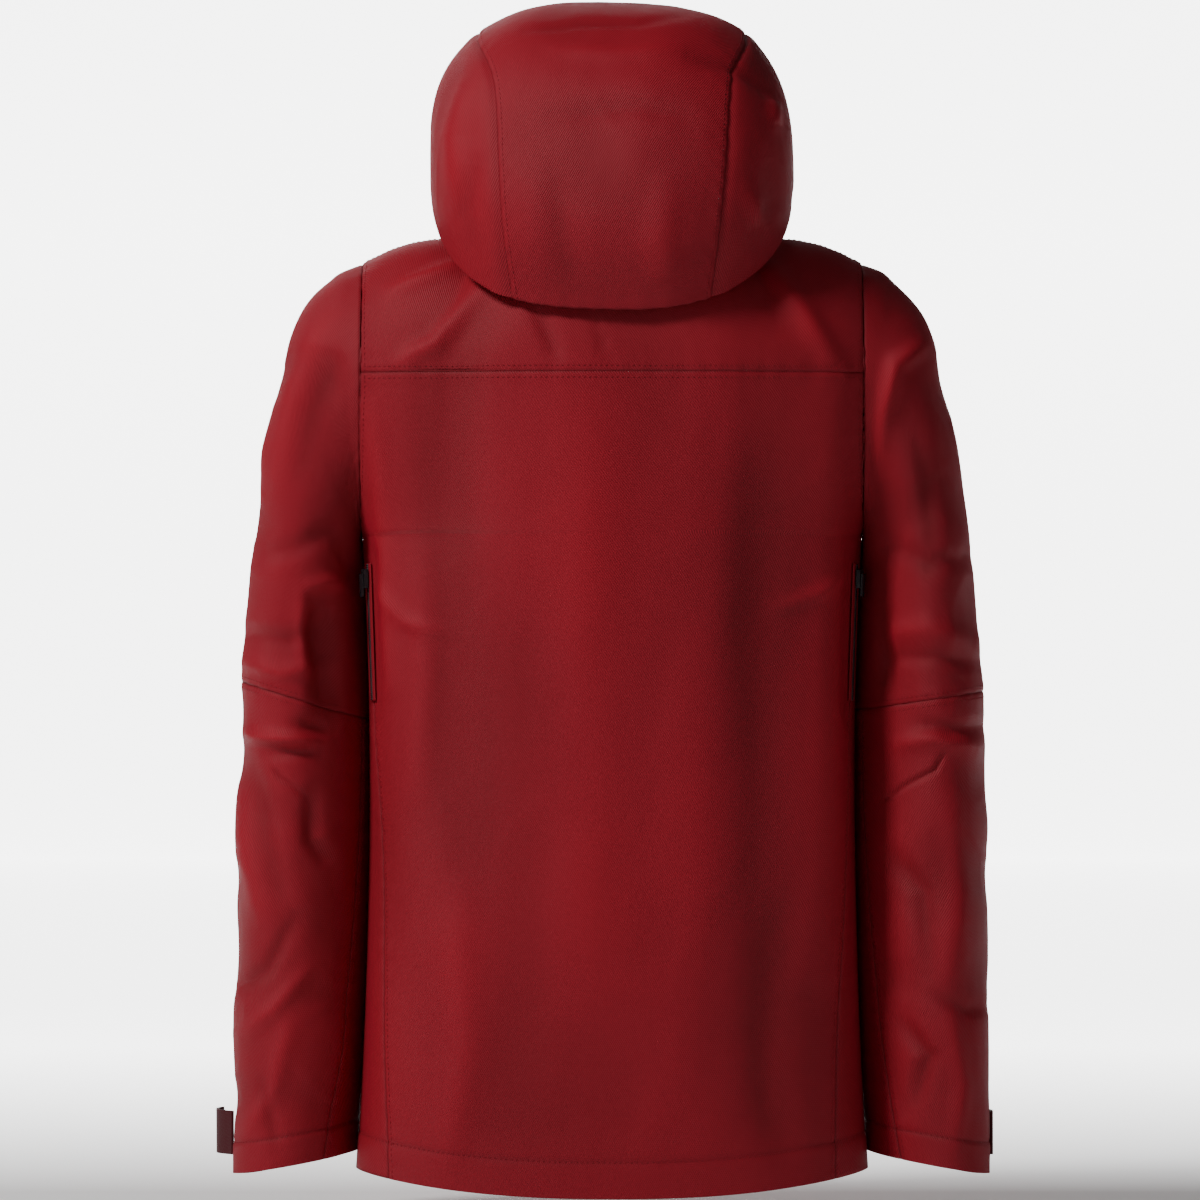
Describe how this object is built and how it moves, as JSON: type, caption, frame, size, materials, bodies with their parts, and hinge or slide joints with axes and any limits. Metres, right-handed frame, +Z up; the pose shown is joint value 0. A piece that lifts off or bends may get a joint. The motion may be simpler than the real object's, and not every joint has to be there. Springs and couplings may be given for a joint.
{
  "type": "hardshell jacket",
  "caption": "Hooded waterproof shell jacket with full front zip, hand pockets, underarm vents and adjustable cuffs.",
  "frame": {"origin": "point between the shoulders, level with the neck seam at the side, where the jacket hangs on the wearer", "axes": "+Z up, -Y the front with the main zip, +X the wearer's left"},
  "size_m": [0.6074, 0.2937, 0.9328],
  "materials": {
    "shell_laminate": "matt woven face",
    "dark_laminate": "matt woven face",
    "lining": "matt knit",
    "zip_tape": "woven",
    "hook_and_loop": "pile",
    "moulded_polymer": "satin"
  },
  "bodies": {
    "jacket_body": {"back_panel": "shell_laminate", "back_yoke": "shell_laminate", "collar": "shell_laminate", "hem_facing": "lining", "hanger_loop": "lining", "hood_neck_band": "shell_laminate", "front_zip_tape_left": "zip_tape", "front_zip_tape_right": "zip_tape", "front_zip_coil": "moulded_polymer", "front_zip_box": "moulded_polymer", "storm_flap": "dark_laminate", "chin_guard": "lining", "side_panel_left": "shell_laminate", "front_panel_left": "shell_laminate", "front_yoke_left": "shell_laminate", "pocket_bag_left": "lining", "pocket_zip_left": "zip_tape", "pit_zip_left": "zip_tape", "side_panel_right": "shell_laminate", "front_panel_right": "shell_laminate", "front_yoke_right": "shell_laminate", "pocket_bag_right": "lining", "pocket_zip_right": "zip_tape", "pit_zip_right": "zip_tape"},
    "hood": {"hood_centre_panel": "shell_laminate", "hood_side_left": "shell_laminate", "hood_side_right": "shell_laminate", "hood_brim": "dark_laminate", "face_binding_left": "dark_laminate", "face_binding_right": "dark_laminate"},
    "upper_arm_left": {"upper_sleeve_left": "shell_laminate"},
    "lower_arm_left": {"forearm_inner_left": "shell_laminate", "forearm_outer_left": "shell_laminate", "cuff_hem_left": "lining", "cuff_loop_patch_left": "hook_and_loop"},
    "tab_left": {"cuff_tab_left": "dark_laminate", "tab_hook_patch_left": "hook_and_loop"},
    "upper_arm_right": {"upper_sleeve_right": "shell_laminate"},
    "lower_arm_right": {"forearm_inner_right": "shell_laminate", "forearm_outer_right": "shell_laminate", "cuff_hem_right": "lining", "cuff_loop_patch_right": "hook_and_loop"},
    "tab_right": {"cuff_tab_right": "dark_laminate", "tab_hook_patch_right": "hook_and_loop"},
    "front_zip_slider_body": {"front_zip_slider": "moulded_polymer"},
    "front_zip_puller_body": {"front_zip_puller": "moulded_polymer"},
    "pocket_zip_left_slider_body": {"pocket_zip_left_slider": "moulded_polymer"},
    "pocket_zip_left_puller_body": {"pocket_zip_left_puller": "moulded_polymer"},
    "pit_zip_left_slider_body": {"pit_zip_left_slider": "moulded_polymer"},
    "pit_zip_left_puller_body": {"pit_zip_left_puller": "moulded_polymer"},
    "pocket_zip_right_slider_body": {"pocket_zip_right_slider": "moulded_polymer"},
    "pocket_zip_right_puller_body": {"pocket_zip_right_puller": "moulded_polymer"},
    "pit_zip_right_slider_body": {"pit_zip_right_slider": "moulded_polymer"},
    "pit_zip_right_puller_body": {"pit_zip_right_puller": "moulded_polymer"}
  },
  "joints": [
    {"name": "hood_tilt", "type": "hinge", "parent": "jacket_body", "child": "hood", "pos_m": [0, 0.1198, -0.046], "axis": [-1, 0, 0], "range_deg": [0, 20]},
    {"name": "shoulder_left", "type": "hinge", "parent": "jacket_body", "child": "upper_arm_left", "pos_m": [0.195, 0, -0.095], "axis": [-1, 0, 0], "range_deg": [-30, 90]},
    {"name": "elbow_left", "type": "hinge", "parent": "upper_arm_left", "child": "lower_arm_left", "pos_m": [0.24675, -0.0665, -0.3522], "axis": [-1, 0, 0], "range_deg": [0, 90]},
    {"name": "cuff_tab_left_turn", "type": "hinge", "parent": "lower_arm_left", "child": "tab_left", "pos_m": [0.2944, 0, -0.689], "axis": [0, 0, 1], "range_deg": [-32, 60]},
    {"name": "shoulder_right", "type": "hinge", "parent": "jacket_body", "child": "upper_arm_right", "pos_m": [-0.195, 0, -0.095], "axis": [-1, 0, 0], "range_deg": [-30, 90]},
    {"name": "elbow_right", "type": "hinge", "parent": "upper_arm_right", "child": "lower_arm_right", "pos_m": [-0.24675, -0.0665, -0.3522], "axis": [-1, 0, 0], "range_deg": [0, 90]},
    {"name": "cuff_tab_right_turn", "type": "hinge", "parent": "lower_arm_right", "child": "tab_right", "pos_m": [-0.2944, 0, -0.689], "axis": [0, 0, -1], "range_deg": [0, 92]},
    {"name": "front_zip_slide", "type": "slide", "parent": "jacket_body", "child": "front_zip_slider_body", "axis": [0, -0.0175, -0.9998], "range_m": [0, 0.735]},
    {"name": "front_zip_puller_swing", "type": "hinge", "parent": "front_zip_slider_body", "child": "front_zip_puller_body", "pos_m": [0, -0.10544, 0.04629], "axis": [-1, 0, 0], "range_deg": [0, 170]},
    {"name": "pocket_zip_left_slide", "type": "slide", "parent": "jacket_body", "child": "pocket_zip_left_slider_body", "axis": [0.0147, -0.0127, -0.9998], "range_m": [0, 0.145]},
    {"name": "pocket_zip_left_puller_swing", "type": "hinge", "parent": "pocket_zip_left_slider_body", "child": "pocket_zip_left_puller_body", "pos_m": [0.1484, -0.08481, -0.43145], "axis": [-0.8486, -0.529, -0.0058], "range_deg": [0, 150]},
    {"name": "pit_zip_left_slide", "type": "slide", "parent": "jacket_body", "child": "pit_zip_left_slider_body", "axis": [-0.0342, -0.0038, -0.9994], "range_m": [0, 0.085]},
    {"name": "pit_zip_left_puller_swing", "type": "hinge", "parent": "pit_zip_left_slider_body", "child": "pit_zip_left_puller_body", "pos_m": [0.19466, 0.03879, -0.25428], "axis": [0.3202, -0.9473, -0.0073], "range_deg": [0, 22]},
    {"name": "pocket_zip_right_slide", "type": "slide", "parent": "jacket_body", "child": "pocket_zip_right_slider_body", "axis": [-0.0147, -0.0127, -0.9998], "range_m": [0, 0.145]},
    {"name": "pocket_zip_right_puller_swing", "type": "hinge", "parent": "pocket_zip_right_slider_body", "child": "pocket_zip_right_puller_body", "pos_m": [-0.1484, -0.08481, -0.43145], "axis": [-0.8486, 0.529, 0.0058], "range_deg": [0, 150]},
    {"name": "pit_zip_right_slide", "type": "slide", "parent": "jacket_body", "child": "pit_zip_right_slider_body", "axis": [0.0342, -0.0038, -0.9994], "range_m": [0, 0.085]},
    {"name": "pit_zip_right_puller_swing", "type": "hinge", "parent": "pit_zip_right_slider_body", "child": "pit_zip_right_puller_body", "pos_m": [-0.19466, 0.03879, -0.25428], "axis": [0.3202, 0.9473, 0.0073], "range_deg": [0, 22]}
  ]
}
